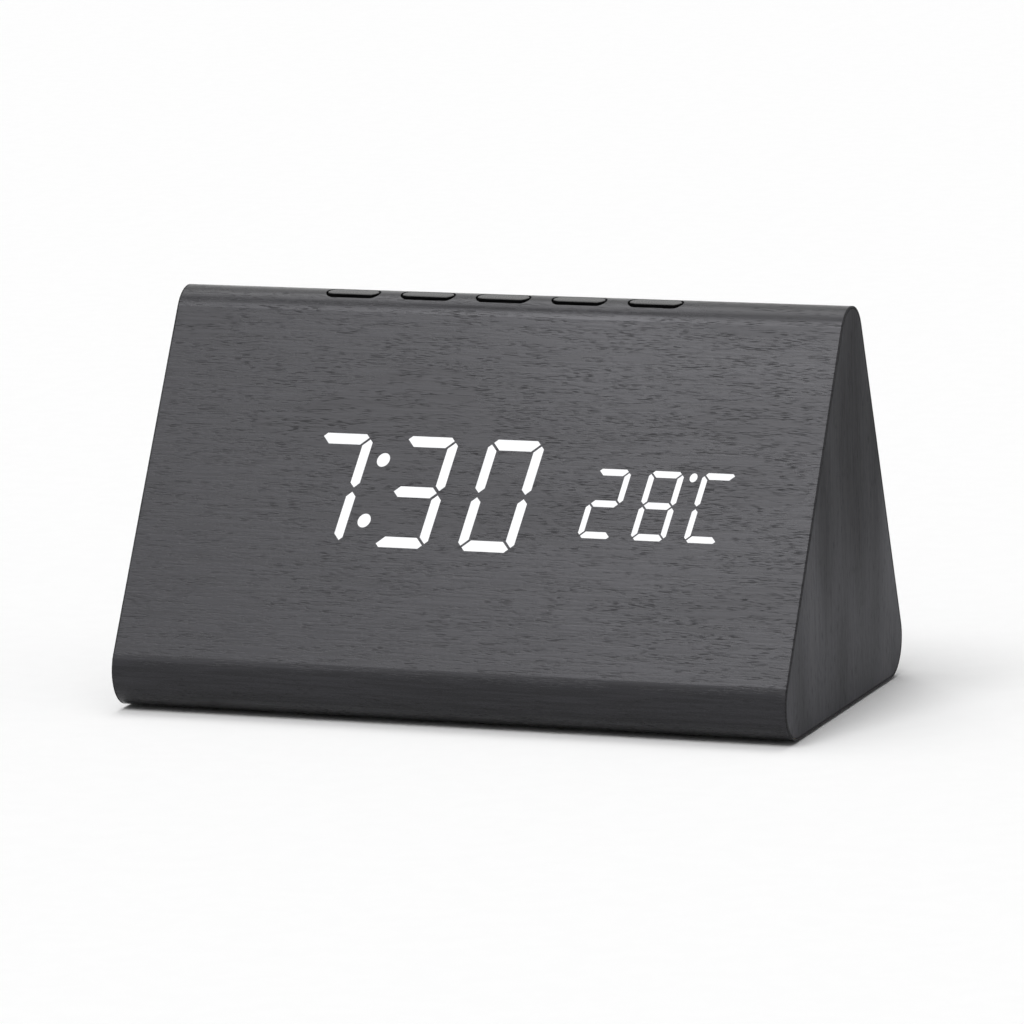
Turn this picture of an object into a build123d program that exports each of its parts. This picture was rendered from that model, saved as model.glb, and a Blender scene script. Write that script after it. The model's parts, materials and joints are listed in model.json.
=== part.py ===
from build123d import *
import math
import os

# Triangular LED desk clock. Millimetres, +Z up, front towards -Y, origin under the middle of the base.

# Housing: a film-covered board sleeve of rounded triangular section, closed by two end boards
body_width = 150.0
body_depth = 82.0
body_height = 84.5
apex_offset = 7.0  # the crest lies this far behind the middle of the base
ridge_radius = 7.5
base_radius = 8.0
film = 0.4
wall = 6.0
inner_radius = 1.0  # least radius of an inside corner
end_board = 5.0
tongue_depth = 3.0
tongue_clearance = 0.1
seam = 0.15  # open joint round each end film

# Base plate, let into the underside, and the pads under the corners
base_length = 112.0
base_breadth = 46.0
base_thickness = 3.0
base_ledge = 6.0
base_corner = 3.0
base_recess = 0.2
fit_gap = 0.2
pad_thickness = 0.5
pad_side = 9.0
pad_end_inset = 13.5
pad_side_inset = 14.0

# Screws, one size throughout
screw_diameter = 1.8
screw_head_diameter = 3.6
screw_head_height = 1.4
screw_length = 4.5
screw_slot = 0.5
screw_slot_length = 2.4
screw_slot_depth = 0.7
pilot_clearance = 0.05
head_clearance = 0.2

# Seven-segment figures, seen square to the front: half sizes run to the points of the segments
slant = 0.143
outer_share = 0.32  # share of a segment's thickness outside the line through its points
big_half_width = 5.57
big_half_height = 11.82
big_bar = 2.41
big_upright = 2.09
big_gap = 0.38
big_waist = 0.5
big_waist_inset = 0.36  # from the uprights' line to their points at the waist
big_pitch = 19.28
big_first = -51.8
big_middle = -0.56
small_half_width = 3.43
small_half_height = 7.31
small_bar = 1.47
small_upright = 1.24
small_gap = 0.26
small_waist = 0.31
small_waist_inset = 0.21
small_pitch = 11.68
small_first = 29.13
small_middle = -1.28
colon_width = 2.85
colon_height = 3.13
colon_rise = 6.9
colon_middle = -0.5
colon_place = 1.514  # in pitches from the first figure
degree_width = 1.64
degree_height = 2.0
degree_rise = 6.6
degree_place = 1.511
oval_sides = 20

# Display block and circuit board behind the front wall
display_margin = 2.0
well_share = 0.75  # size of a light well at the board, as a share of its mouth
led_height = 0.6
led_room = 0.9
big_led_length = 1.6
big_led_width = 0.8
small_led_length = 1.0
small_led_width = 0.5
board_thickness = 1.6
board_end_gap = 2.5
board_rim = 6.5
board_screw_inset = 14.0

# Parts on the back of the circuit board
chip_width = 7.5
chip_height = 2.3
chip_leg = 1.4
chip_leg_width = 0.5
chip_leg_pitch = 1.27
chip_leg_height = 0.4
chip_seat = 0.2
controller_leg_count = 8
driver_leg_count = 10
chip_column = -25.0
controller_row = 4.0
driver_row = -12.0
crystal_diameter = 2.1
crystal_length = 6.2
crystal_column = -8.0
buzzer_diameter = 12.0
buzzer_height = 7.5
buzzer_column = 8.0
buzzer_row = -10.0
coin_diameter = 20.0
coin_thickness = 3.2
coin_end_inset = 20.0
coin_row = 3.0
coin_clearance = 0.15
holder_wall = 1.6
holder_floor = 1.0
holder_breadth = 9.0
holder_lip = 0.8
capacitor_diameter = 5.0
capacitor_height = 8.0
capacitor_pitch = 7.5
capacitor_count = 2
capacitor_end_inset = 7.0
capacitor_clearance = 1.0
connector_depth = 5.0
connector_height = 6.0
lead_thickness = 0.9
lead_width = 2.4
lead_bend = 3.0
lead_stub = 5.0
lead_run_share = 0.45  # share of a run that its bend may take
ribbon_width = 10.0
ribbon_row = 11.0
ribbon_clearance = 5.5  # from the side of the battery box
lead_row = -14.0

# Buttons on the crest
button_names = ["set", "up", "down", "alarm", "snooze"]
button_pitch = 17.1
button_middle = -1.7
cap_length = 11.5
cap_width = 3.1
cap_forward = 2.0  # from the crest to the middle line of the caps
cap_gap = 0.45
cap_drop = 0.12  # from the crest to the back edge of the cap tops
cap_tilt = 7.0  # degrees that the cap tops fall towards the front
cap_edge = 0.3
button_travel = 0.5
running_gap = 0.3
flange_reach = 1.2
flange_width = 7.3
flange_thickness = 2.0
guide_gap = 0.2
guide_thickness = 1.5
carrier_drop = 16.5  # from the crest to the top of the button carrier
carrier_breadth = 11.0
carrier_end = 10.0
carrier_clearance = 0.2
tab_width = 8.0
tab_drop = 9.0
tab_thickness = 2.2
switch_side = 6.0
switch_height = 3.4
switch_floor = 0.4
plunger_side = 3.0
plunger_clearance = 0.06

# Battery box and its door, let into the back
cell_diameter = 10.5
cell_length = 44.5
cell_nub = 1.0
cell_nub_diameter = 3.8
cell_count = 3
cell_pitch = 11.0
cell_clearance = 0.5
contact_thickness = 0.4
contact_side = 7.0
contact_dimple = 4.0
positive_room = 1.0
spring_room = 4.5
tray_wall = 1.5
tray_row = -8.0
tray_frame = 5.5
door_thickness = 2.0
door_lap = 1.5
door_gap = 0.3
door_seat_gap = 0.2
door_recess = 0.2
hinge_pin_diameter = 1.2
hinge_pin_length = 1.6
hinge_clearance = 0.08
notch_width = 14.0
notch_depth = 3.0
grip_count = 4
grip_length = 16.0
grip_width = 0.9
grip_depth = 0.5
grip_pitch = 2.0
grip_inset = 4.0

# Power inlet and temperature sensor in the back wall
inlet_place = -46.0
inlet_row = -20.0
inlet_rim_diameter = 11.0
inlet_rim = 1.2
inlet_barrel_diameter = 8.0
inlet_length = 12.5
inlet_bore = 5.6
inlet_bore_depth = 9.5
inlet_pin_diameter = 2.0
inlet_pin_length = 8.5
nut_across = 11.0
nut_thickness = 2.2
nut_clearance = 0.05
sensor_place = 46.0
sensor_row = -18.0
sensor_diameter = 2.8
sensor_length = 7.0
sensor_depth = 1.2  # from the film to the sensor's tip
sensor_clearance = 0.2

# Section of the housing, in Y and Z: three corner circles and the flats that touch them
crest = pad_thickness + body_height
front_corner = Vector(base_radius - body_depth / 2, pad_thickness + base_radius)
back_corner = Vector(body_depth / 2 - base_radius, pad_thickness + base_radius)
top_corner = Vector(apex_offset, crest - ridge_radius)


def flat_normal(corner, turn):
    rise = top_corner - corner
    lean = math.degrees(math.acos((base_radius - ridge_radius) / rise.length))
    return rise.normalized().rotate(Axis.Z, turn * lean)


def flat_plane(corner, normal, across):
    middle = (corner + top_corner) / 2 + normal * (base_radius + ridge_radius) / 2
    return Plane((0, middle.X, middle.Y), x_dir=(across, 0, 0), z_dir=(0, normal.X, normal.Y))


front_normal = flat_normal(front_corner, 1)
back_normal = flat_normal(back_corner, -1)
base_normal = Vector(0, -1)

# On both faces x runs to the right as one looks at it, y up the slope and z outwards
front_face = flat_plane(front_corner, front_normal, 1)
back_face = flat_plane(back_corner, back_normal, -1)


def crossing(one, one_reach, other, other_reach):
    spread = one.X * other.Y - one.Y * other.X
    across = (one_reach * other.Y - other_reach * one.Y) / spread
    up = (one.X * other_reach - other.X * one_reach) / spread
    return Vector(across, up)


def section(inset):
    front_reach = front_normal.dot(front_corner) + base_radius - inset
    back_reach = back_normal.dot(back_corner) + base_radius - inset
    base_reach = base_normal.dot(front_corner) + base_radius - inset
    corners = [
        crossing(front_normal, front_reach, base_normal, base_reach),
        crossing(base_normal, base_reach, back_normal, back_reach),
        crossing(back_normal, back_reach, front_normal, front_reach),
    ]
    outline = make_face(Polyline(*corners, close=True))
    low_corners = outline.vertices().group_by(Axis.Y)[0]
    outline = fillet(low_corners, max(base_radius - inset, inner_radius))
    high_corner = outline.vertices().sort_by(Axis.Y)[-1]
    return fillet(high_corner, max(ridge_radius - inset, inner_radius))


def prism(inset, length, middle=0.0):
    return extrude(Plane.YZ.offset(middle - length / 2) * section(inset), length)


upwards = (Align.CENTER, Align.CENTER, Align.MIN)


def block(length, breadth, bottom, top):
    return Pos(0, 0, bottom) * Box(length, breadth, top - bottom, align=upwards)


def rod(diameter, bottom, top):
    return Pos(0, 0, bottom) * Cylinder(diameter / 2, top - bottom, align=upwards)


def hexagon_bar(across, bottom, top):
    outline = RegularPolygon(across / 2, 6, major_radius=False)
    return Pos(0, 0, bottom) * extrude(outline, top - bottom)


def pill(length, breadth, bottom, top):
    return Pos(0, 0, bottom) * extrude(SlotOverall(length, breadth), top - bottom)


def cluster(solids):
    return Compound(children=list(solids))


# Fasteners: the underside of the head lies at z = 0 and the shank runs down
def screw():
    head = rod(screw_head_diameter, 0, screw_head_height)
    shank = hexagon_bar(screw_diameter, -screw_length, 0)
    bar = block(screw_slot_length, screw_slot, screw_head_height - screw_slot_depth, screw_head_height)
    return head + shank - (bar + Rot(0, 0, 90) * bar)


def pilot():
    return hexagon_bar(screw_diameter + 2 * pilot_clearance, -screw_length - pilot_clearance, 0)


turned_over = Rot(180, 0, 0)

# Depths below the outer face, shared by the front and back walls
board_face = -film
wall_back = -film - wall
end_x = body_width / 2 - film
sleeve_width = body_width - 2 * film - 2 * end_board
cavity_width = sleeve_width - 2 * tongue_depth

# Display: where each figure stands, and which of its segments are lit
segment_names = "abcdefg"
lit_by_figure = {" ": "", "7": "abc", "3": "abcdg", "0": "abcdef", "2": "abdeg", "8": "abcdefg", "C": "adef"}
big_figure = (
    big_half_width,
    big_half_height,
    big_bar,
    big_upright,
    big_gap,
    big_waist,
    big_waist_inset,
)
small_figure = (
    small_half_width,
    small_half_height,
    small_bar,
    small_upright,
    small_gap,
    small_waist,
    small_waist_inset,
)
big_led = (big_led_length, big_led_width)
small_led = (small_led_length, small_led_width)


def segment_outline(name, style):
    half_width, half_height, bar, upright, gap, waist, waist_inset = style
    if name == "g":
        outer, inner = bar / 2, bar / 2
    elif name in "ad":
        outer, inner = bar * outer_share, bar * (1 - outer_share)
    else:
        outer, inner = upright * outer_share, upright * (1 - outer_share)
    if name in "adg":
        height = 0 if name == "g" else half_height
        reach = half_width - gap - (waist_inset if name == "g" else 0)
        points = [
            (-reach, height),
            (outer - reach, height + outer),
            (reach - outer, height + outer),
            (reach, height),
            (reach - inner, height - inner),
            (inner - reach, height - inner),
        ]
        return [(x, -y) for x, y in points] if name == "d" else points
    low, high = waist, half_height - gap
    points = [
        (half_width, high),
        (half_width + outer, high - outer),
        (half_width + outer, low + outer + waist_inset),
        (half_width - waist_inset, low),
        (half_width - inner, low + inner - waist_inset),
        (half_width - inner, high - inner),
    ]
    side = -1 if name in "ef" else 1
    level = -1 if name in "ce" else 1
    return [(side * x, level * y) for x, y in points]


def oval_outline(width, height):
    turns = [2 * math.pi * index / oval_sides for index in range(oval_sides)]
    return [(width / 2 * math.cos(turn), height / 2 * math.sin(turn)) for turn in turns]


def placed(outline, column, row):
    return [(column + x + slant * y, row + y) for x, y in outline]


def outline_middle(points):
    return sum(x for x, _ in points) / len(points), sum(y for _, y in points) / len(points)


def shrunk(points, share):
    middle_x, middle_y = outline_middle(points)
    return [(middle_x + share * (x - middle_x), middle_y + share * (y - middle_y)) for x, y in points]


def share_at(depth):
    return 1 - (1 - well_share) * depth / wall


def polygon_well(points, depth):
    mouth = [Vector(x, y, board_face) for x, y in points]
    floor = [Vector(x, y, board_face - depth) for x, y in shrunk(points, share_at(depth))]
    sides = len(points)
    faces = [Face(Wire.make_polygon(mouth)), Face(Wire.make_polygon(floor))]
    for corner in range(sides):
        after = (corner + 1) % sides
        edge = [mouth[corner], mouth[after], floor[after], floor[corner]]
        faces.append(Face(Wire.make_polygon(edge)))
    return Solid(Shell(faces))


class Light:
    def __init__(self, lit, led, upright, points):
        self.lit = lit
        self.led = led
        self.upright = upright
        self.points = points

    def well(self, depth):
        return polygon_well(self.points, depth)

    def window(self):
        return extrude(Pos(0, 0, board_face) * make_face(Polyline(*self.points, close=True)), film)

    def lamp(self):
        length, width = self.led
        size = (width, length) if self.upright else (length, width)
        return Pos(*outline_middle(self.points), wall_back) * Box(*size, led_height, align=upwards)


def figure_lights(figure, style, led, column, row):
    lights = []
    for name in segment_names:
        points = placed(segment_outline(name, style), column, row)
        lights.append(Light(name in lit_by_figure[figure], led, name in "bcef", points))
    return lights


def dot_light(led, column, row, rise, width, height):
    points = placed(oval_outline(width, height), column + slant * rise, row + rise)
    return Light(True, led, True, points)


def all_lights(share):
    lights = []
    big_style = [share * size for size in big_figure]
    for index, figure in enumerate(" 730"):
        column = share * (big_first + index * big_pitch)
        lights += figure_lights(figure, big_style, big_led, column, big_middle)
    small_style = [share * size for size in small_figure]
    for index, figure in enumerate("28C"):
        column = share * (small_first + index * small_pitch)
        lights += figure_lights(figure, small_style, small_led, column, small_middle)
    colon = (share * colon_width, share * colon_height)
    column = share * (big_first + colon_place * big_pitch)
    for side in (-1, 1):
        lights.append(dot_light(big_led, column, colon_middle, share * side * colon_rise, *colon))
    degree = (share * degree_width, share * degree_height)
    column = share * (small_first + degree_place * small_pitch)
    lights.append(dot_light(small_led, column, small_middle, share * degree_rise, *degree))
    return lights


def figure_reach(lights):
    return max(abs(x) for light in lights for x, _ in light.points)


# In a body too narrow for the figures at full size, they shrink to fit between the end boards
figure_room = cavity_width / 2 - board_end_gap - display_margin
figure_share = min(1, figure_room / figure_reach(all_lights(1)))
lights = all_lights(figure_share)
light_points = [point for light in lights for point in light.points]
display_left = min(x for x, _ in light_points) - display_margin
display_right = max(x for x, _ in light_points) + display_margin
display_low = min(y for _, y in light_points) - display_margin
display_high = max(y for _, y in light_points) + display_margin
display_place = Pos((display_left + display_right) / 2, (display_low + display_high) / 2, 0)
display_length = display_right - display_left
display_breadth = display_high - display_low
board_length = cavity_width - 2 * board_end_gap
board_breadth = display_breadth + 2 * board_rim
board_middle = (display_low + display_high) / 2
board_back = wall_back - board_thickness
screw_column = board_length / 2 - board_screw_inset
screw_row = (display_breadth + board_rim) / 2
board_screw_places = [
    (across * screw_column, board_middle + up * screw_row) for across in (-1, 1) for up in (-1, 1)
]


def front_screws(shape):
    return [front_face * Pos(x, y, board_back) * turned_over * shape for x, y in board_screw_places]


def display_reflector():
    body = display_place * block(display_length, display_breadth, wall_back, board_face)
    return front_face * (body - [light.well(wall) for light in lights])


def light_bars(lit):
    bars = []
    for light in lights:
        if light.lit == lit:
            bar = light.well(wall - led_room)
            bars.append(bar + light.window() if lit else bar)
    return cluster(front_face * bar for bar in bars)


def segment_leds():
    return cluster(front_face * light.lamp() for light in lights)


def main_board():
    board = Pos(0, board_middle, 0) * block(board_length, board_breadth, board_back, wall_back)
    return front_face * board - front_screws(pilot())


# What stands on the back of the circuit board is drawn with z pointing away from the board
def on_board(column, row, shape):
    return front_face * Pos(column, row, board_back) * turned_over * shape


def chip(leg_count):
    row_length = (leg_count - 1) * chip_leg_pitch
    body = block(row_length + 2 * chip_leg_width, chip_width, chip_seat, chip_height)
    leg_span = chip_width + 2 * chip_leg
    for index in range(leg_count):
        place = index * chip_leg_pitch - row_length / 2
        leg = block(chip_leg_width, leg_span, 0, chip_leg_height)
        body += Pos(place, 0, 0) * leg
    return body


def clock_crystal():
    can = Rot(0, 90, 0) * Cylinder(crystal_diameter / 2, crystal_length)
    return on_board(crystal_column, controller_row, Pos(0, 0, crystal_diameter / 2) * can)


def buzzer():
    return on_board(buzzer_column, buzzer_row, rod(buzzer_diameter, 0, buzzer_height))


coin_column = board_length / 2 - coin_end_inset
capacitor_column = capacitor_end_inset - board_length / 2
capacitor_row = ribbon_row - (connector_depth + capacitor_diameter) / 2 - capacitor_clearance


def coin_cell_holder():
    coin_top = holder_floor + coin_thickness + coin_clearance
    post_inner = coin_diameter / 2 + coin_clearance
    holder = block(2 * (post_inner + holder_wall), holder_breadth, 0, holder_floor)
    for side in (-1, 1):
        post = block(holder_wall, holder_breadth, 0, coin_top + holder_lip)
        lip = block(2 * holder_wall, holder_breadth, coin_top, coin_top + holder_lip)
        holder += Pos(side * (post_inner + holder_wall / 2), 0, 0) * post
        holder += Pos(side * post_inner, 0, 0) * lip
    return on_board(coin_column, coin_row, holder)


def coin_cell():
    return on_board(coin_column, coin_row, rod(coin_diameter, holder_floor, holder_floor + coin_thickness))


def capacitors():
    can = rod(capacitor_diameter, 0, capacitor_height)
    rows = [capacitor_row - index * capacitor_pitch for index in range(capacitor_count)]
    return cluster(on_board(capacitor_column, row, can) for row in rows)


# Buttons: blades in slots just before the crest, guided by a carrier that holds the switch board below
button_span = (len(button_names) - 1) * button_pitch
first_button = button_middle - button_span / 2
button_places = [first_button + index * button_pitch for index in range(len(button_names))]
slot_length = cap_length + 2 * cap_gap
slot_width = cap_width + 2 * cap_gap
carrier_top = crest - carrier_drop
flange_top = carrier_top - guide_thickness - running_gap
flange_bottom = flange_top - flange_thickness
switch_top = flange_bottom - button_travel - running_gap
switch_board_top = switch_top - switch_height
switch_board_bottom = switch_board_top - board_thickness
plunger_bottom = switch_board_top + switch_floor + button_travel + running_gap
flange_length = cap_length + 2 * flange_reach
chamber_length = flange_length + 2 * guide_gap
chamber_width = flange_width + 2 * guide_gap
carrier_length = button_span + chamber_length + 2 * carrier_end
carrier_screw_x = (carrier_length - carrier_end) / 2


def on_crest(place, shape):
    return Pos(place, apex_offset, 0) * shape


def crest_slots():
    slot = pill(slot_length, slot_width, carrier_top - carrier_clearance, crest + film)
    return [on_crest(place, Pos(0, -cap_forward, 0) * slot) for place in button_places]


def button_cap(place):
    blade = pill(cap_length, cap_width, flange_bottom, crest)
    above = block(2 * cap_length, 4 * cap_width, 0, cap_width)
    blade -= Pos(0, cap_width / 2, crest - cap_drop) * Rot(cap_tilt, 0, 0) * above
    blade = chamfer(blade.faces().sort_by(Axis.Z)[-1].edges(), cap_edge)
    flange = block(flange_length, flange_width, flange_bottom, flange_top)
    return on_crest(place, Pos(0, -cap_forward, 0) * blade + flange)


def plunger(place):
    return on_crest(place, block(plunger_side, plunger_side, plunger_bottom, flange_bottom))


def switch_bodies():
    body = block(switch_side, switch_side, switch_board_top, switch_top)
    bore_side = plunger_side + 2 * plunger_clearance
    bore = block(bore_side, bore_side, switch_board_top + switch_floor, switch_top)
    return cluster(on_crest(place, body - bore) for place in button_places)


def height_on_back(height, depth):
    return (height - back_face.origin.Z - depth * back_face.z_dir.Z) / back_face.y_dir.Z


tab_top = height_on_back(carrier_top - guide_thickness, wall_back)
tab_bottom = height_on_back(switch_board_bottom, wall_back) - tab_drop
tab_screw_row = tab_bottom + tab_drop / 2
tab_columns = [side * (carrier_length - tab_width) / 2 - button_middle for side in (-1, 1)]


def tab_screws(shape):
    return [
        back_face * Pos(column, tab_screw_row, wall_back - tab_thickness) * turned_over * shape
        for column in tab_columns
    ]


def switch_board_screws(shape):
    places = [button_middle - carrier_screw_x, button_middle + carrier_screw_x]
    return [on_crest(place, Pos(0, 0, switch_board_bottom) * turned_over * shape) for place in places]


def button_carrier():
    bar = prism(film + wall + carrier_clearance, carrier_length, button_middle)
    bar &= on_crest(button_middle, block(carrier_length, carrier_breadth, switch_board_top, carrier_top))
    chamber = block(chamber_length, chamber_width, switch_board_top, carrier_top - guide_thickness)
    guide = block(cap_length + 2 * guide_gap, cap_width + 2 * guide_gap, switch_board_top, carrier_top)
    for place in button_places:
        bar -= on_crest(place, chamber + Pos(0, -cap_forward, 0) * guide)
    tab = block(tab_width, tab_top - tab_bottom, wall_back - tab_thickness, wall_back)
    for column in tab_columns:
        bar += back_face * Pos(column, (tab_top + tab_bottom) / 2, 0) * tab
    return bar - tab_screws(pilot()) - switch_board_screws(pilot())


def button_board():
    board = block(carrier_length, carrier_breadth, switch_board_bottom, switch_board_top)
    board = on_crest(button_middle, board)
    board &= prism(film + wall + carrier_clearance, carrier_length, button_middle)
    tab_inner = wall_back - tab_thickness - fit_gap
    clear = block(tab_width + 2 * fit_gap, tab_top - tab_bottom, tab_inner, wall_back)
    for column in tab_columns:
        board -= back_face * Pos(column, (tab_top + tab_bottom) / 2, 0) * clear
    return board - switch_board_screws(pilot())


# Battery box, in the back face's own directions
bay_length = cell_length + positive_room + spring_room
bay_breadth = (cell_count - 1) * cell_pitch + cell_diameter + 2 * cell_clearance
door_length = bay_length + 2 * door_lap
door_breadth = bay_breadth + 2 * door_lap
opening_length = door_length + 2 * door_gap
opening_breadth = door_breadth + 2 * door_gap
frame_length = opening_length + 2 * tray_frame
frame_breadth = opening_breadth + 2 * tray_frame
door_outer = -door_recess
door_inner = door_outer - door_thickness
ledge_face = door_inner - door_seat_gap
frame_inner = ledge_face - tray_wall
cell_depth = door_inner - cell_clearance - cell_diameter / 2
bay_floor = cell_depth - cell_diameter / 2
tray_back = bay_floor - tray_wall
tray_length = bay_length + 2 * tray_wall
tray_breadth = bay_breadth + 2 * tray_wall
hinge_row = door_thickness / 2 - door_breadth / 2
hinge_depth = door_outer - door_thickness / 2
tray_screw_places = [(side * (frame_length - tray_frame) / 2, 0) for side in (-1, 1)]
tray_screw_seat = door_outer - screw_head_height - head_clearance
battery_lead_place = tray_length / 2 - 2 * lead_width
ribbon_place = -tray_length / 2 - ribbon_clearance - ribbon_width / 2


def in_back(shape):
    return back_face * Pos(0, tray_row, 0) * shape


def tray_screws(shape):
    return [in_back(Pos(x, y, tray_screw_seat) * shape) for x, y in tray_screw_places]


def battery_box():
    frame = block(frame_length, frame_breadth, frame_inner, door_outer)
    tray = block(tray_length, tray_breadth, tray_back, ledge_face)
    bay = block(bay_length, bay_breadth, bay_floor, door_outer)
    mouth = block(opening_length, opening_breadth, ledge_face, door_outer)
    notch = Pos(0, opening_breadth / 2, 0) * pill(notch_width, 2 * notch_depth, door_inner, door_outer)
    box = frame + tray - bay - mouth - notch
    bore_span = opening_length + 2 * (hinge_pin_length + running_gap)
    bore = Rot(0, 90, 0) * Cylinder(hinge_pin_diameter / 2 + hinge_clearance, bore_span)
    box -= Pos(0, hinge_row, hinge_depth) * bore
    sink = rod(screw_head_diameter + 2 * head_clearance, tray_screw_seat, door_outer)
    for x, y in tray_screw_places:
        box -= Pos(x, y, 0) * sink
    return in_back(box) - tray_screws(pilot())


def battery_door():
    plate_breadth = door_breadth - door_thickness / 2
    plate = block(door_length, plate_breadth, door_inner, door_outer)
    plate = Pos(0, (door_breadth - plate_breadth) / 2, 0) * plate
    barrel = Rot(0, 90, 0) * Cylinder(door_thickness / 2, door_length)
    pin_span = opening_length + 2 * hinge_pin_length
    pins = Rot(0, 90, 0) * Cylinder(hinge_pin_diameter / 2, pin_span)
    door = plate + Pos(0, hinge_row, hinge_depth) * (barrel + pins)
    groove = block(grip_length, grip_width, door_outer - grip_depth, door_outer)
    first_grip = door_breadth / 2 - grip_inset
    for index in range(grip_count):
        door -= Pos(0, first_grip - index * grip_pitch, 0) * groove
    return in_back(door)


def cell_frames():
    frames = []
    for index in range(cell_count):
        row = (index - (cell_count - 1) / 2) * cell_pitch
        heading = 1 if index % 2 == 0 else -1
        frames.append(Pos(0, row, cell_depth) * Rot(0, 90 * heading, 0))
    return frames


# Along a cell's own axis the bay runs from its spring end, at the bottom, to its positive end
bay_start = -bay_length / 2
cell_start = bay_start + spring_room
cell_end = cell_start + cell_length


def aaa_cells():
    can = rod(cell_diameter, cell_start, cell_end - cell_nub)
    nub = rod(cell_nub_diameter, cell_end - cell_nub, cell_end)
    return cluster(in_back(frame * (can + nub)) for frame in cell_frames())


def battery_plates():
    plate = block(contact_side, contact_side, -bay_start - contact_thickness, -bay_start)
    dimple = block(contact_dimple, contact_dimple, cell_end, -bay_start)
    return cluster(in_back(frame * (plate + dimple)) for frame in cell_frames())


def battery_springs():
    half = contact_side / 2
    foot = half - 2 * contact_thickness
    crown = [(-contact_thickness, cell_start), (contact_thickness, cell_start)]
    inner = [(foot, bay_start), (0, cell_start - contact_thickness), (-foot, bay_start)]
    leaf = make_face(Polyline((-half, bay_start), *crown, (half, bay_start), *inner, close=True))
    spring = extrude(Plane.XZ.offset(-contact_side / 2) * leaf, contact_side)
    return cluster(in_back(frame * spring) for frame in cell_frames())


# Power inlet and sensor, in the back wall; columns there run against X
def at_inlet(shape):
    return back_face * Pos(-inlet_place, inlet_row, 0) * shape


def at_sensor(shape):
    return back_face * Pos(-sensor_place, sensor_row, 0) * shape


inlet_face = -base_recess
inlet_back = inlet_face - inlet_length


def dc_inlet():
    body = rod(inlet_rim_diameter, inlet_face - inlet_rim, inlet_face)
    body += rod(inlet_barrel_diameter, inlet_back, inlet_face)
    return at_inlet(body - rod(inlet_bore, inlet_face - inlet_bore_depth, inlet_face))


def inlet_pin():
    floor = inlet_face - inlet_bore_depth
    return at_inlet(rod(inlet_pin_diameter, floor, floor + inlet_pin_length))


def inlet_nut():
    nut = hexagon_bar(nut_across, wall_back - nut_thickness, wall_back)
    bore = rod(inlet_barrel_diameter + 2 * nut_clearance, wall_back - nut_thickness, wall_back)
    return at_inlet(nut - bore)


def temperature_sensor():
    tip = -film - sensor_depth
    return at_sensor(rod(sensor_diameter, tip - sensor_length, tip))


# Leads: each leaves its connector square to the circuit board and runs square into its far end
def section_point(plane, row, depth):
    spot = plane.from_local_coords(Vector(0, row, depth))
    return Vector(spot.Y, spot.Z)


def bend_radius(before, corner, after):
    turn = (corner - before).get_angle(after - corner)
    run = min((corner - before).length, (after - corner).length)
    return min(lead_bend, lead_run_share * run / math.tan(math.radians(turn) / 2))


def lead(place, breadth, row, end, end_heading):
    start = section_point(front_face, row, board_back - connector_height)
    leaving = start - front_normal * lead_stub
    arriving = end - end_heading * lead_stub
    radii = [bend_radius(start, leaving, arriving), bend_radius(leaving, arriving, end)]
    strip = trace(FilletPolyline(start, leaving, arriving, end, radius=radii), lead_thickness)
    return extrude(Plane.YZ.offset(place - breadth / 2) * strip, breadth)


def ribbon_cable():
    end = Vector(apex_offset, switch_board_bottom - connector_height)
    return lead(ribbon_place, ribbon_width, ribbon_row, end, Vector(0, 1))


def battery_lead():
    end = section_point(back_face, tray_row, tray_back)
    return lead(battery_lead_place, lead_width, lead_row, end, back_normal)


def inlet_lead():
    end = section_point(back_face, inlet_row, inlet_back)
    return lead(inlet_place, lead_width, lead_row, end, back_normal)


def sensor_lead():
    end = section_point(back_face, sensor_row, -film - sensor_depth - sensor_length)
    return lead(sensor_place, lead_width, lead_row, end, back_normal)


def board_connectors():
    shells = []
    for place in (battery_lead_place, inlet_place, sensor_place):
        shells.append(on_board(place, lead_row, block(2 * lead_width, connector_depth, 0, connector_height)))
    header = block(ribbon_width + lead_width, connector_depth, 0, connector_height)
    shells.append(on_board(ribbon_place, ribbon_row, header))
    shells.append(on_crest(ribbon_place, Pos(0, 0, switch_board_bottom) * turned_over * header))
    return cluster(shells)


# Base plate and pads
base_bottom = pad_thickness + base_recess
base_top = base_bottom + base_thickness
base_screw_seat = base_bottom + screw_head_height + head_clearance
base_screw_places = [
    (across * (base_length - base_ledge) / 2, up * (base_breadth - base_ledge) / 2)
    for across in (-1, 1)
    for up in (-1, 1)
]


def base_screws(shape):
    return [Pos(x, y, base_screw_seat) * turned_over * shape for x, y in base_screw_places]


def base_plate():
    plate = block(base_length, base_breadth, base_bottom, base_top)
    upright_edges = plate.edges().filter_by(Axis.Z)
    plate = fillet(upright_edges, base_corner)
    for x, y in base_screw_places:
        plate -= Pos(x, y, 0) * rod(screw_head_diameter + 2 * head_clearance, base_bottom, base_screw_seat)
    return plate - base_screws(pilot())


def foot_pads():
    pad_x = body_width / 2 - pad_end_inset
    pad_y = body_depth / 2 - pad_side_inset
    pad = block(pad_side, pad_side, 0, pad_thickness)
    return cluster(Pos(x, y, 0) * pad for x in (-pad_x, pad_x) for y in (-pad_y, pad_y))


# Housing: the openings are cut alike through film and board
def base_rebate():
    length = base_length + 2 * fit_gap
    breadth = base_breadth + 2 * fit_gap
    rebate = block(length, breadth, 0, base_top)
    return fillet(rebate.edges().filter_by(Axis.Z), base_corner + fit_gap)


def frame_rebate():
    return in_back(block(frame_length + 2 * fit_gap, frame_breadth + 2 * fit_gap, frame_inner, film))


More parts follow.
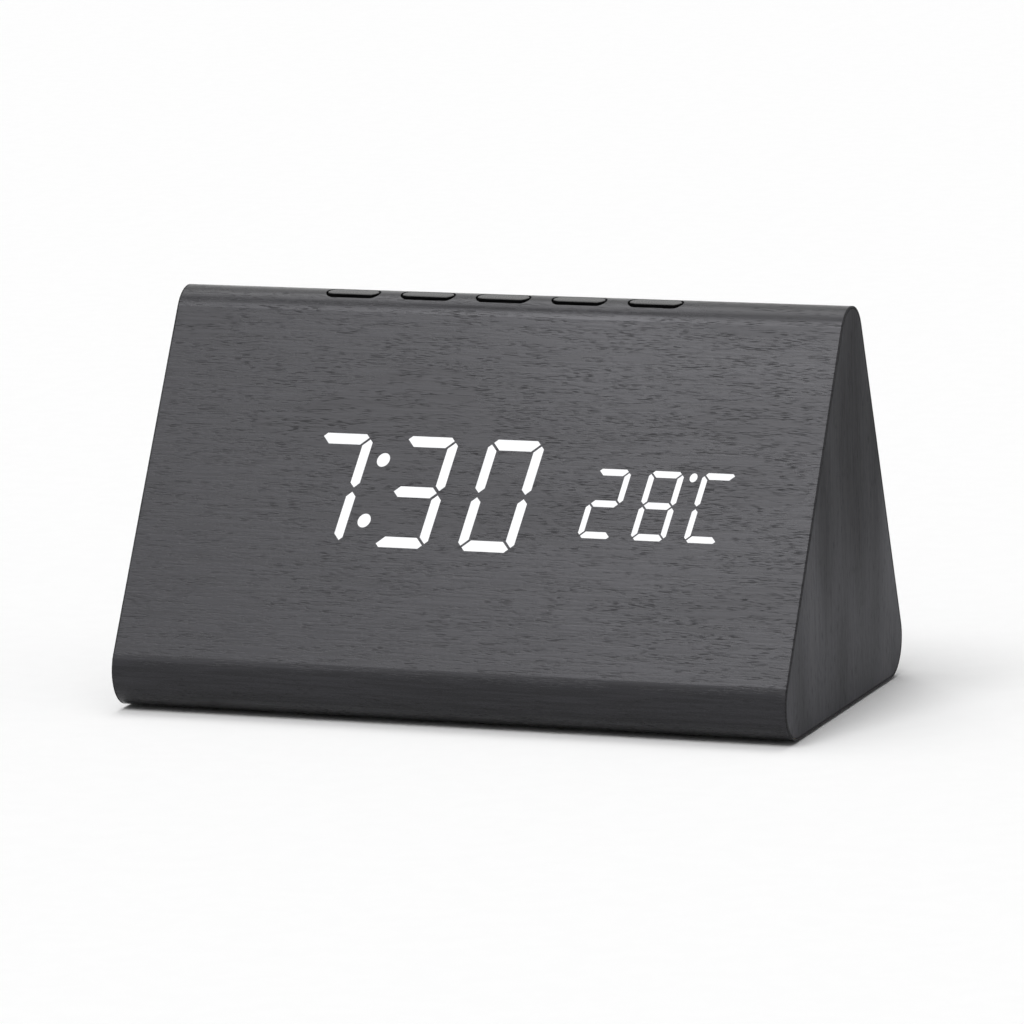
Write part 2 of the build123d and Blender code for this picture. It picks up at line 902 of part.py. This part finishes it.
def mdf_sleeve():
    sleeve = prism(film, sleeve_width) - prism(film + wall, sleeve_width)
    window = block(display_length + 2 * fit_gap, display_breadth + 2 * fit_gap, wall_back, film)
    sleeve -= front_face * display_place * window
    sleeve -= crest_slots()
    hatch = block(base_length - 2 * base_ledge, base_breadth - 2 * base_ledge, 0, base_top + wall)
    sleeve -= [base_rebate(), hatch]
    well = block(tray_length + 2 * fit_gap, tray_breadth + 2 * fit_gap, tray_back, film)
    sleeve -= [frame_rebate(), in_back(well)]
    rim = rod(inlet_rim_diameter + 2 * fit_gap, inlet_face - inlet_rim, film)
    barrel = rod(inlet_barrel_diameter + 2 * fit_gap, wall_back, film)
    sleeve -= [at_inlet(rim), at_inlet(barrel)]
    sleeve -= at_sensor(rod(sensor_diameter + 2 * sensor_clearance, wall_back, film))
    screws = front_screws(pilot()) + tab_screws(pilot()) + tray_screws(pilot()) + base_screws(pilot())
    return sleeve - screws


def end_boards():
    plate = prism(film, end_board, (sleeve_width + end_board) / 2)
    tongue = prism(film + wall + tongue_clearance, tongue_depth, (sleeve_width - tongue_depth) / 2)
    right = plate + tongue
    return mirror(right, Plane.YZ), right


def veneer_wrap():
    wrap = prism(0, body_width) - prism(film, body_width)
    wrap -= crest_slots()
    wrap -= [base_rebate(), frame_rebate()]
    wrap -= at_inlet(rod(inlet_rim_diameter + 2 * fit_gap, inlet_face - inlet_rim, film))
    wrap -= at_sensor(rod(sensor_diameter, -2 * film, film))
    return wrap - [front_face * light.window() for light in lights if light.lit]


def end_veneers():
    right = prism(film + seam, film, end_x + film / 2)
    return mirror(right, Plane.YZ), right


left_end_board, right_end_board = end_boards()
left_end_veneer, right_end_veneer = end_veneers()
nodes = {
    "mdf_sleeve": mdf_sleeve(),
    "left_end_board": left_end_board,
    "right_end_board": right_end_board,
    "veneer_wrap": veneer_wrap(),
    "left_end_veneer": left_end_veneer,
    "right_end_veneer": right_end_veneer,
    "base_plate": base_plate(),
    "base_screws": cluster(base_screws(screw())),
    "foot_pads": foot_pads(),
    "display_reflector": display_reflector(),
    "lit_segments": light_bars(True),
    "unlit_segments": light_bars(False),
    "segment_leds": segment_leds(),
    "main_board": main_board(),
    "main_board_screws": cluster(front_screws(screw())),
    "controller_chip": on_board(chip_column, controller_row, chip(controller_leg_count)),
    "driver_chip": on_board(chip_column, driver_row, chip(driver_leg_count)),
    "clock_crystal": clock_crystal(),
    "buzzer": buzzer(),
    "coin_cell_holder": coin_cell_holder(),
    "coin_cell": coin_cell(),
    "capacitors": capacitors(),
    "board_connectors": board_connectors(),
    "ribbon_cable": ribbon_cable(),
    "battery_lead": battery_lead(),
    "inlet_lead": inlet_lead(),
    "sensor_lead": sensor_lead(),
    "button_carrier": button_carrier(),
    "carrier_screws": cluster(tab_screws(screw())),
    "button_board": button_board(),
    "button_board_screws": cluster(switch_board_screws(screw())),
    "switch_bodies": switch_bodies(),
    "battery_box": battery_box(),
    "battery_box_screws": cluster(tray_screws(screw())),
    "battery_door": battery_door(),
    "battery_plates": battery_plates(),
    "battery_springs": battery_springs(),
    "aaa_cells": aaa_cells(),
    "dc_inlet": dc_inlet(),
    "inlet_pin": inlet_pin(),
    "inlet_nut": inlet_nut(),
    "temperature_sensor": temperature_sensor(),
}
for name, place in zip(button_names, button_places):
    nodes[name + "_button"] = button_cap(place)
    nodes[name + "_plunger"] = plunger(place)

os.makedirs("parts", exist_ok=True)
for name, shape in nodes.items():
    export_step(shape, os.path.join("parts", name + ".step"))
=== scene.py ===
import json
import math

import bmesh
import bpy
from mathutils import Matrix, Vector


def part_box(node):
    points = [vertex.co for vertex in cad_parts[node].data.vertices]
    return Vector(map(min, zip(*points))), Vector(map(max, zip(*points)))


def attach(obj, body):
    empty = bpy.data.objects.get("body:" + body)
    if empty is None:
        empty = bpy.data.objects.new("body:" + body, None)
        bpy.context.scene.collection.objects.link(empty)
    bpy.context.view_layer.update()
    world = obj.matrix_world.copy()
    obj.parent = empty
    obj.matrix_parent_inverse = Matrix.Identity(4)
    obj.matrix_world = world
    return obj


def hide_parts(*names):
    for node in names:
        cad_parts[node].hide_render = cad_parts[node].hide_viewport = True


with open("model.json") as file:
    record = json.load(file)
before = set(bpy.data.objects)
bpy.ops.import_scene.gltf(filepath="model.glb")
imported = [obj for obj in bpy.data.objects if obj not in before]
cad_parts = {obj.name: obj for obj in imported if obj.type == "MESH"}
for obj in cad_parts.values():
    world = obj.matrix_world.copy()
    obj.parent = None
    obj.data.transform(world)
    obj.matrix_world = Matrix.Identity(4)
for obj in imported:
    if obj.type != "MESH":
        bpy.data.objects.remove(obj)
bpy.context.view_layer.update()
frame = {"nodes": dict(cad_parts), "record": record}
nodes = frame["nodes"]
record = frame["record"]
mm = 0.001
print("frame loaded:", len(nodes), "pieces")


# colours are written as sRGB hex and shaded as linear
def linear(hexColour):
    channels = [int(hexColour[i : i + 2], 16) / 255 for i in (1, 3, 5)]
    return [c / 12.92 if c <= 0.04045 else ((c + 0.055) / 1.055) ** 2.4 for c in channels] + [1]


# adds a shader node, sets its properties, fills or links its inputs, and gives one of its outputs
def addNode(tree, kind, inputs=(), out=0, **settings):
    node = tree.nodes.new("ShaderNode" + kind)
    for name, value in settings.items():
        setattr(node, name, value)
    for socket, value in dict(inputs).items():
        if isinstance(value, bpy.types.NodeSocket):
            tree.links.new(value, node.inputs[socket])
        else:
            node.inputs[socket].default_value = value
    return node.outputs[out]


# soft blobs of the given millimetres along X, Y and Z, brought to 0..1 between two levels of the noise
def grain(tree, size, low=0.35, high=0.65, detail=2.0, seed=0.0):
    spot = addNode(tree, "TexCoord", out="Object")
    scale = [1 / (s * mm) for s in size]
    spot = addNode(tree, "Mapping", {"Vector": spot, "Scale": scale, "Location": [seed] * 3})
    noise = addNode(tree, "TexNoise", {"Vector": spot, "Scale": 1.0, "Detail": detail})
    levels = {"Value": noise, "From Min": low, "From Max": high}
    return addNode(tree, "MapRange", levels, interpolation_type="SMOOTHSTEP")


def newMaterial(name, **plain):
    material = bpy.data.materials.new(name)
    material.use_nodes = True
    surface = material.node_tree.nodes["Principled BSDF"]
    for socket, value in plain.items():
        surface.inputs[socket.replace("_", " ")].default_value = value
    return material, material.node_tree, surface


# PVC woodgrain film, printed near black and embossed: a satin sheet with short dark ticks in loose
# groups along the grain, bright where it mirrors a lamp and nearly black where it turns away; the real
# ticks are finer, and are drawn coarse enough to show
film = {
    "light": "#222225",
    "dark": "#040405",
    # the ends' tones are lighter than the wrap's print: painted light on the end faces
    "endLightWithPaintedLight": "#515155",
    "endDarkWithPaintedLight": "#202022",
    "tick": "#070708",
    "joint": "#0b0b0c",  # painted shade of the sheet's rounded edge, at the joint
    "sheen": "#faf9ff",  # the lacquer mirrors a little cool
    "tickLength": 2.0,  # all lengths, widths and depths in millimetres
    "tickWidth": 0.16,
    "groupLength": 9.0,
    "groupWidth": 1.4,
    "fibreLength": 16.0,
    "fibreWidth": 0.5,
    "cloudLength": 70.0,
    "cloudWidth": 24.0,
    "waveLength": 16.0,
    "waveWidth": 5.0,
    "tickDepth": 0.011,
    "fibreDepth": 0.0035,
    "waveDepth": 0.009,
    "tickLevels": (0.54, 0.7),  # of the noise, a higher start leaves fewer of them
    "groupLevels": (0.3, 0.62),
    "fibreLevels": (0.3, 0.7),
    "cloudLevels": (0.3, 0.7),
    "waveLevels": (0.2, 0.8),
    "fibreShare": 0.6,  # of the tone, the clouds give the rest
    "cloudRough": 0.04,
    "tickRough": 0.34,  # added in a tick, which the lacquer doesn't fill
    "jointRough": 0.5,
    "jointWidth": 0.36,
    "jointFade": 0.4,  # share of the painted edge shade's width
}
wrapFilm = {
    "along": 0,  # axis of the grain
    "light": "light",
    "dark": "dark",
    "roughness": 0.25,
    "gloss": 0.38,
    "press": 1.0,  # how hard the grain is printed and embossed
    "seed": 7.7,
}
# the end sheets: the same film with upright grain, printed lighter as painted light on the ends
endFilm = {
    "along": 2,
    "light": "endLightWithPaintedLight",
    "dark": "endDarkWithPaintedLight",
    "roughness": 0.6,
    "gloss": 0.1,
    "press": 0.3,
    "seed": 4.4,
}


def woodgrainFilm(name, along, light, dark, roughness, gloss, press, seed):
    sheen = linear(film["sheen"])
    material, tree, surface = newMaterial(name, Specular_IOR_Level=gloss, Specular_Tint=sheen)

    def pattern(part, detail, seed):
        size = [film[part + "Width"]] * 3
        size[along] = film[part + "Length"]
        return grain(tree, size, *film[part + "Levels"], detail=detail, seed=seed)

    ticks = pattern("tick", detail=0.0, seed=0.0)
    groups = pattern("group", detail=1.0, seed=5.3)
    groups = addNode(tree, "Math", {0: groups, 1: press}, operation="MULTIPLY")
    ticks = addNode(tree, "Math", {0: ticks, 1: groups}, operation="MULTIPLY")
    fibres = pattern("fibre", detail=1.0, seed=3.1)
    clouds = pattern("cloud", detail=1.0, seed=seed)
    waves = pattern("wave", detail=1.0, seed=1.9)
    tone = addNode(tree, "Mix", {0: film["fibreShare"] * press, 2: clouds, 3: fibres})
    shades = {6: linear(film[dark]), 7: linear(film[light])}
    printed = addNode(tree, "Mix", {0: tone, **shades}, out=2, data_type="RGBA")
    inked = {6: printed, 7: linear(film["tick"])}
    printed = addNode(tree, "Mix", {0: ticks, **inked}, out=2, data_type="RGBA")
    ends = {"To Min": roughness + film["cloudRough"], "To Max": roughness - film["cloudRough"]}
    rough = addNode(tree, "MapRange", {"Value": clouds, **ends})
    rough = addNode(tree, "Math", {0: ticks, 1: film["tickRough"], 2: rough}, operation="MULTIPLY_ADD")
    if along == 0:  # only the wrap ends in a joint at each end of the clock, with a painted shade of its rounded edge there
        spot = addNode(tree, "TexCoord", out="Object")
        across = addNode(tree, "SeparateXYZ", {0: spot})
        across = addNode(tree, "Math", {0: across}, operation="ABSOLUTE")
        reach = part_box("veneer_wrap")[1].x
        width = film["jointWidth"] * mm
        band = {"From Min": reach - width, "From Max": reach - (1 - film["jointFade"]) * width}
        joint = addNode(tree, "MapRange", {"Value": across, **band})
        # painted shade: a dark, duller band along the wrap's edge at each joint
        edged = {6: printed, 7: linear(film["joint"])}
        printed = addNode(tree, "Mix", {0: joint, **edged}, out=2, data_type="RGBA")
        matt = {0: joint, 1: film["jointRough"], 2: rough}
        rough = addNode(tree, "Math", matt, operation="MULTIPLY_ADD")
    tree.links.new(printed, surface.inputs["Base Color"])
    tree.links.new(rough, surface.inputs["Roughness"])
    swell = {"Height": waves, "Distance": film["waveDepth"] * mm, "Strength": 1.0}
    swollen = addNode(tree, "Bump", swell)
    depth = film["fibreDepth"] * press * mm
    ridges = {"Height": fibres, "Distance": depth, "Strength": 1.0, "Normal": swollen}
    ridged = addNode(tree, "Bump", ridges)
    pits = {"Height": ticks, "Distance": film["tickDepth"] * mm, "Strength": 1.0, "Normal": ridged}
    pressed = addNode(tree, "Bump", pits, invert=True)
    tree.links.new(pressed, surface.inputs["Normal"])
    return material


# moulded and cut plastics: a fine grit in the surface, drawn a few times coarser than the real one so
# that it shows, and a faint cloudiness in the colour
plastic = {"cloudSize": 6.0, "gritLevels": (0.3, 0.7), "gritRough": 0.06}


def mouldedPlastic(name, light, dark, grit, roughness, emboss, **plain):
    material, tree, surface = newMaterial(name, **plain)
    cloud = grain(tree, [plastic["cloudSize"]] * 3)
    speck = grain(tree, [grit] * 3, *plastic["gritLevels"], detail=1.0, seed=2.3)
    colour = addNode(tree, "Mix", {0: cloud, 6: linear(dark), 7: linear(light)}, out=2, data_type="RGBA")
    tree.links.new(colour, surface.inputs["Base Color"])
    ends = {"To Min": roughness - plastic["gritRough"], "To Max": roughness + plastic["gritRough"]}
    rough = addNode(tree, "MapRange", {"Value": speck, **ends})
    tree.links.new(rough, surface.inputs["Roughness"])
    bump = addNode(tree, "Bump", {"Height": speck, "Distance": emboss * mm})
    tree.links.new(bump, surface.inputs["Normal"])
    return material


# plated and turned metal: a bright skin with fine marks, drawn coarser than the real ones so that they show
plating = {"markLevels": (0.3, 0.7), "markRough": 0.12}


def platedMetal(name, light, dark, grit, roughness, emboss):
    material, tree, surface = newMaterial(name, Metallic=1.0)
    speck = grain(tree, [grit] * 3, *plating["markLevels"], detail=3.0)
    colour = addNode(tree, "Mix", {0: speck, 6: linear(dark), 7: linear(light)}, out=2, data_type="RGBA")
    tree.links.new(colour, surface.inputs["Base Color"])
    ends = {"To Min": roughness, "To Max": roughness + plating["markRough"]}
    rough = addNode(tree, "MapRange", {"Value": speck, **ends})
    tree.links.new(rough, surface.inputs["Roughness"])
    bump = addNode(tree, "Bump", {"Height": speck, "Distance": emboss * mm})
    tree.links.new(bump, surface.inputs["Normal"])
    return material


# sanded fibreboard: a felt of short pale and brown fibres, painted near black round the button slots as
# painted shade in the slot gaps
board = {
    "light": "#c2a780",
    "dark": "#a98d69",
    "fleck": "#7d6242",
    "slotShade": "#0c0b0b",
    "fibreSize": [0.9, 0.25, 0.25],  # millimetres along X, Y and Z
    "fleckSize": [0.5, 0.5, 0.9],
    "fibreLevels": (0.3, 0.7),
    "fleckLevels": (0.55, 0.75),
    "slotShadeFoot": 67.0,  # height in millimetres where the painted slot shade starts, and where it is full
    "slotShadeFull": 69.0,
    "fibreDepth": 0.05,
    "roughLow": 0.78,
    "roughHigh": 0.92,
}


def fibreboard(name):
    material, tree, surface = newMaterial(name, Specular_IOR_Level=0.3)
    fibres = grain(tree, board["fibreSize"], *board["fibreLevels"], detail=3.0)
    flecks = grain(tree, board["fleckSize"], *board["fleckLevels"], detail=2.0, seed=4.0)
    felt = {6: linear(board["dark"]), 7: linear(board["light"])}
    felt = addNode(tree, "Mix", {0: fibres, **felt}, out=2, data_type="RGBA")
    felt = addNode(tree, "Mix", {0: flecks, 6: felt, 7: linear(board["fleck"])}, out=2, data_type="RGBA")
    spot = addNode(tree, "TexCoord", out="Object")
    height = addNode(tree, "SeparateXYZ", {0: spot}, out="Z")
    rise = {"From Min": board["slotShadeFoot"] * mm, "From Max": board["slotShadeFull"] * mm}
    slotShade = addNode(tree, "MapRange", {"Value": height, **rise})
    # painted shade: near black above the foot, where the slot gaps lie in shade
    felt = addNode(tree, "Mix", {0: slotShade, 6: felt, 7: linear(board["slotShade"])}, out=2, data_type="RGBA")
    tree.links.new(felt, surface.inputs["Base Color"])
    ends = {"To Min": board["roughLow"], "To Max": board["roughHigh"]}
    rough = addNode(tree, "MapRange", {"Value": fibres, **ends})
    tree.links.new(rough, surface.inputs["Roughness"])
    bump = addNode(tree, "Bump", {"Height": fibres, "Distance": board["fibreDepth"] * mm})
    tree.links.new(bump, surface.inputs["Normal"])
    return material


# milky resin over a white LED: even white light, a little stronger over the lamp
lit = {
    "white": "#ffffff",
    "whiteDim": "#fafbfd",
    "smoke": "#424245",
    "smokeDark": "#3a3a3d",
    "glowSize": 2.4,  # millimetres
    "glowLevels": (0.3, 0.7),
    "dim": 0.97,
    "full": 1.0,
}


def litResin(name):
    material, tree, surface = newMaterial(name, Roughness=0.4, Specular_IOR_Level=0.1)
    glow = grain(tree, [lit["glowSize"]] * 3, *lit["glowLevels"], detail=1.0)
    whites = {6: linear(lit["whiteDim"]), 7: linear(lit["white"])}
    white = addNode(tree, "Mix", {0: glow, **whites}, out=2, data_type="RGBA")
    smokes = {6: linear(lit["smokeDark"]), 7: linear(lit["smoke"])}
    smoky = addNode(tree, "Mix", {0: glow, **smokes}, out=2, data_type="RGBA")
    tree.links.new(smoky, surface.inputs["Base Color"])
    tree.links.new(white, surface.inputs["Emission Color"])
    strength = addNode(tree, "MapRange", {"Value": glow, "To Min": lit["dim"], "To Max": lit["full"]})
    tree.links.new(strength, surface.inputs["Emission Strength"])
    return material


# AAA cells in a printed sleeve: glossy slate with a pale ring near the positive end, and bare steel ends
cells = {
    "sleeveLight": "#3c4450",
    "sleeveDark": "#323944",
    "ring": "#d5d6d8",
    "steel": "#c9c6c0",
    "ringPlace": 6.0,  # millimetres from the tip
    "ringWidth": 2.2,
    "pitch": 11.0,
    "lean": 21.0,  # degrees, of the back that the rows lie along
    "endFacing": 0.7,  # what faces the ends more than this is bare
    "cloudSize": 5.0,
    "roughLow": 0.24,
    "roughHigh": 0.32,
}


def cellSleeve(name):
    material, tree, surface = newMaterial(name)
    low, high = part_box("aaa_cells")
    lean = math.radians(cells["lean"])
    upward = Vector((0, -math.sin(lean), math.cos(lean)))
    spot = addNode(tree, "TexCoord", out="Object")
    row = addNode(tree, "VectorMath", {0: spot, 1: upward}, out="Value", operation="DOT_PRODUCT")
    middle = {1: upward.dot((low + high) / 2), 2: cells["pitch"] / 2 * mm}
    reversedRow = addNode(tree, "Math", {0: row, **middle}, operation="COMPARE")
    heading = addNode(tree, "MapRange", {"Value": reversedRow, "To Min": -1.0, "To Max": 1.0})
    along = addNode(tree, "SeparateXYZ", {0: spot}, out="X")
    along = addNode(tree, "Math", {0: along, 1: heading}, operation="MULTIPLY")
    band = {1: high.x - cells["ringPlace"] * mm, 2: cells["ringWidth"] / 2 * mm}
    ring = addNode(tree, "Math", {0: along, **band}, operation="COMPARE")
    facing = addNode(tree, "NewGeometry", out="Normal")
    facing = addNode(tree, "SeparateXYZ", {0: facing}, out="X")
    facing = addNode(tree, "Math", {0: facing}, operation="ABSOLUTE")
    bare = addNode(tree, "Math", {0: facing, 1: cells["endFacing"]}, operation="GREATER_THAN")
    cloud = grain(tree, [cells["cloudSize"]] * 3)
    sleeve = {6: linear(cells["sleeveDark"]), 7: linear(cells["sleeveLight"])}
    colour = addNode(tree, "Mix", {0: cloud, **sleeve}, out=2, data_type="RGBA")
    colour = addNode(tree, "Mix", {0: ring, 6: colour, 7: linear(cells["ring"])}, out=2, data_type="RGBA")
    colour = addNode(tree, "Mix", {0: bare, 6: colour, 7: linear(cells["steel"])}, out=2, data_type="RGBA")
    tree.links.new(colour, surface.inputs["Base Color"])
    tree.links.new(bare, surface.inputs["Metallic"])
    ends = {"To Min": cells["roughLow"], "To Max": cells["roughHigh"]}
    rough = addNode(tree, "MapRange", {"Value": cloud, **ends})
    tree.links.new(rough, surface.inputs["Roughness"])
    return material


# plastics and metals: light and dark tone, grit in millimetres, roughness, depth of the grit in millimetres
materials = {
    "woodgrain_film": woodgrainFilm("pvcFilmGrainAlong", **wrapFilm),
    "mdf": fibreboard("fibreboardSanded"),
    "cap_abs": mouldedPlastic("absSatinCap", "#0b0b0c", "#070708", 0.25, 0.25, 0.002, Specular_IOR_Level=0.3),
    "black_abs": mouldedPlastic("absBlackTextured", "#242426", "#1d1d1f", 0.3, 0.52, 0.02),
    "white_abs": mouldedPlastic("absWhiteMoulded", "#e4e4e0", "#d9d9d5", 0.4, 0.4, 0.01),
    "lit_resin": litResin("resinLit"),
    "clear_resin": mouldedPlastic("resinMilky", "#dfe0dc", "#d2d3cf", 0.5, 0.25, 0.005),
    "led_resin": mouldedPlastic("ledPhosphor", "#e6d27a", "#d8c25e", 0.2, 0.3, 0.01),
    "circuit_board": mouldedPlastic("solderMaskGreen", "#1f6a3d", "#175431", 0.8, 0.32, 0.02),
    "chip_resin": mouldedPlastic("epoxyMoulded", "#2b2b2d", "#232325", 0.2, 0.6, 0.015),
    "capacitor_can": mouldedPlastic("sleevePvcNavy", "#262c3d", "#1e2433", 0.4, 0.3, 0.005),
    "lead_pvc": mouldedPlastic("pvcLeadGrey", "#77777a", "#6a6a6d", 0.5, 0.45, 0.01),
    "cell_jacket": cellSleeve("pvcSleevePrinted"),
    "zinc_steel": platedMetal("steelZincPlated", "#c6c6c2", "#b4b4b1", 0.15, 0.3, 0.003),
    "nickel_steel": platedMetal("steelNickelPlated", "#d4d0c8", "#c8c4bc", 0.25, 0.24, 0.0008),
    "inlet_brass": platedMetal("brassTurned", "#d8b46a", "#c9a45b", 0.12, 0.22, 0.002),
    "foam_rubber": mouldedPlastic("evaFoam", "#2a2a2b", "#1c1c1d", 0.35, 0.85, 0.06),
}
# the walls of the caps lie in the shadow of their slots; they get a darker, duller copy of the cap plastic as
# painted shade
capWallPaintedShade = mouldedPlastic(
    "absWallPaintedShade", "#070708", "#040405", 0.25, 0.85, 0.005, Specular_IOR_Level=0.03
)
filmOnEndsPaintedLight = woodgrainFilm("pvcFilmGrainUprightPaintedLight", **endFilm)
for subpart in record["subparts"]:
    piece = nodes[subpart["node"]]
    for slot in piece.material_slots:
        slot.material = materials[subpart["material_slot"]]
for name in ("left_end_veneer", "right_end_veneer"):
    for slot in nodes[name].material_slots:
        slot.material = filmOnEndsPaintedLight
print("finishes set:", len(materials) + 2)


def addPiece(name, mesh, body, slotName):
    data = bpy.data.meshes.new(name)
    bmesh.ops.recalc_face_normals(mesh, faces=mesh.faces)
    mesh.to_mesh(data)
    mesh.free()
    piece = bpy.data.objects.new(name, data)
    bpy.context.scene.collection.objects.link(piece)
    data.materials.append(materials[slotName])
    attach(piece, body)
    return piece


# button caps: a slim pill with a soft rim and a flat top that falls to the front, on a guided block
cap = {
    "names": ["set", "up", "down", "alarm", "snooze"],
    "length": 11.5,  # millimetres, as the other sizes here
    "width": 3.1,
    "forward": 2.0,  # from the crest towards the front
    "rim": 0.22,
    "backRim": 0.25,  # share of the rim that is left at the back edge
    "tilt": 7.0,  # degrees, of the flat top
    "backLean": 0.28,  # the back wall leans this far towards the crest at its top
    "flangeHeight": 2.0,
    "flangeCorner": 0.3,
    "steps": 8,  # round each quarter
    "rimSteps": 6,
    "topShares": (0.66, 0.33, 0.0),  # of the way from the middle of the top to its rim
    "wallFrom": 0.5,  # faces that point up less than this are wall
    "weld": 0.001,
}


def capRing(length, width, corner):
    ring = []
    for quarter, (sideX, sideY) in enumerate(((1, 1), (-1, 1), (-1, -1), (1, -1))):
        for i in range(cap["steps"] + 1):
            turn = math.pi / 2 * (quarter + i / cap["steps"])
            x = sideX * (length / 2 - corner) + corner * math.cos(turn)
            y = sideY * (width / 2 - corner) + corner * math.sin(turn)
            ring.append((x, y))
    return ring


def buttonCap(name):
    low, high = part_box(name + "_button")
    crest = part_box("veneer_wrap")[1].z
    middle = (low + high) / 2  # of the block, right under the crest
    length, width, rim = cap["length"] * mm, cap["width"] * mm, cap["rim"] * mm
    forward = cap["forward"] * mm
    flangeTop = low.z + cap["flangeHeight"] * mm

    def crown(y):
        return crest - (width / 2 - y) * math.tan(math.radians(cap["tilt"]))

    def leaned(y):
        return y - forward + cap["backLean"] * mm * max(0, 2 * y / width)

    def softness(y):  # whole at the front edge
        return 1 - (1 - cap["backRim"]) * (0.5 + y / width)

    block = capRing(high.x - low.x, high.y - low.y, cap["flangeCorner"] * mm)
    rings = [[(x, y, z) for x, y in block] for z in (low.z, flangeTop)]
    blade = [(x, y - forward) for x, y in capRing(length, width, width / 2)]
    rings.append([(x, y, flangeTop) for x, y in blade])
    for i in range(cap["rimSteps"] + 1):
        turn = math.pi / 2 * i / cap["rimSteps"]
        inset = rim * (1 - math.cos(turn))
        ring = capRing(length - 2 * inset, width - 2 * inset, width / 2 - inset)
        drop = rim * (1 - math.sin(turn))
        rings.append([(x, leaned(y), crown(y) - drop * softness(y)) for x, y in ring])
    for share in cap["topShares"]:
        inset = rim + (1 - share) * (width / 2 - rim)
        ring = capRing(length - 2 * inset, width - 2 * inset, width / 2 - inset)
        rings.append([(x, leaned(y), crown(y)) for x, y in ring])
    mesh = bmesh.new()
    loops = [[mesh.verts.new((middle.x + x, middle.y + y, z)) for x, y, z in ring] for ring in rings]
    count = len(loops[0])
    for lower, upper in zip(loops, loops[1:]):
        for i in range(count):
            j = (i + 1) % count
            mesh.faces.new((lower[i], lower[j], upper[j], upper[i]))
    mesh.faces.new(reversed(loops[0]))
    bmesh.ops.remove_doubles(mesh, verts=mesh.verts, dist=cap["weld"] * mm)
    mesh.normal_update()
    for face in mesh.faces:
        face.smooth = face.calc_center_median().z > flangeTop
        face.material_index = int(face.normal.z < cap["wallFrom"])  # the walls get the painted-shade copy
    piece = addPiece(name + "Cap", mesh, name + "_button", "cap_abs")
    piece.data.materials.append(capWallPaintedShade)
    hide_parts(name + "_button")


for name in cap["names"]:
    buttonCap(name)
print("caps dressed:", len(cap["names"]))

# studio: white paper, a soft key lamp on the left, a fill lamp high in front, a broad lamp overhead
# from behind, and an even surround
studio = {
    "paperSize": 9.0,  # metres
    "paperCuts": 4,
    "paperLight": "#fbfbfb",
    "paperDark": "#fafafa",
    "fibreSize": 6.0,  # millimetres
    "surround": 0.27,  # strength of the light from all round
    "backdrop": "#ffffff",
}
lamps = {  # turn from the front and height in degrees, spread of the lamp as seen from the clock
    "keyLamp": {"turn": -40.0, "height": 44.0, "spread": 34.0, "strength": 0.24},
    "fillLamp": {"turn": -14.0, "height": 60.0, "spread": 30.0, "strength": 1.45},
    "topLamp": {"turn": -160.0, "height": 74.0, "spread": 42.0, "strength": 1.0},
}

mesh = bmesh.new()
cuts = studio["paperCuts"]
bmesh.ops.create_grid(mesh, x_segments=cuts, y_segments=cuts, size=studio["paperSize"] / 2)
data = bpy.data.meshes.new("floor")
mesh.to_mesh(data)
mesh.free()
floor = bpy.data.objects.new("floor", data)
bpy.context.scene.collection.objects.link(floor)
material, tree, surface = newMaterial("paperSweep", Roughness=0.9, Specular_IOR_Level=0.0)
mottle = grain(tree, [studio["fibreSize"]] * 3)
ends = {6: linear(studio["paperDark"]), 7: linear(studio["paperLight"])}
paper = addNode(tree, "Mix", {0: mottle, **ends}, out=2, data_type="RGBA")
tree.links.new(paper, surface.inputs["Base Color"])
data.materials.append(material)

world = bpy.data.worlds.new("studio")
bpy.context.scene.world = world
world.use_nodes = True
tree = world.node_tree
backdrop = tree.nodes["Background"]
backdrop.inputs["Color"].default_value = linear(studio["backdrop"])
seen = addNode(tree, "LightPath", out="Is Camera Ray")
for ray in ("Is Glossy Ray", "Is Transmission Ray"):
    seen = addNode(tree, "Math", {0: seen, 1: addNode(tree, "LightPath", out=ray)}, operation="MAXIMUM")
strength = addNode(tree, "MapRange", {"Value": seen, "To Min": studio["surround"], "To Max": 1.0})
tree.links.new(strength, backdrop.inputs["Strength"])

for name, look in lamps.items():
    lamp = bpy.data.lights.new(name, "SUN")
    lamp.energy = look["strength"]
    lamp.angle = math.radians(look["spread"])
    turn, height = math.radians(look["turn"]), math.radians(look["height"])
    flat = math.cos(height)
    towards = Vector((math.sin(turn) * flat, -math.cos(turn) * flat, math.sin(height)))
    piece = bpy.data.objects.new(name, lamp)
    piece.rotation_euler = towards.to_track_quat("Z", "Y").to_euler()
    bpy.context.scene.collection.objects.link(piece)

# camera: the photographed viewpoint, from right of the front and a little above
view = {
    "azimuth": 20.17,
    "elevation": 10.12,
    "roll": -1.14,
    "aimAcross": 0.236,  # millimetres from the origin, in the picture plane
    "aimUp": 38.68,
    "distance": 1493.4,
    "lens": 245.29,
    "farthest": 100.0,  # metres
}
azimuth, elevation, roll = (math.radians(view[key]) for key in ("azimuth", "elevation", "roll"))
flat = math.cos(elevation)
back = Vector((math.sin(azimuth) * flat, -math.cos(azimuth) * flat, math.sin(elevation)))
right = Vector((math.cos(azimuth), math.sin(azimuth), 0))
up = back.cross(right)
right, up = math.cos(roll) * right + math.sin(roll) * up, math.cos(roll) * up - math.sin(roll) * right
target = (right * view["aimAcross"] + up * view["aimUp"]) * mm
camera = bpy.data.objects.new("camera", bpy.data.cameras.new("camera"))
camera.data.lens = view["lens"]
camera.data.clip_end = view["farthest"]
turned = Matrix((right, up, back)).transposed().to_4x4()
camera.matrix_world = Matrix.Translation(target + back * view["distance"] * mm) @ turned
bpy.context.scene.collection.objects.link(camera)
bpy.context.scene.camera = camera
bpy.context.scene.view_settings.view_transform = "Standard"
print("studio set")
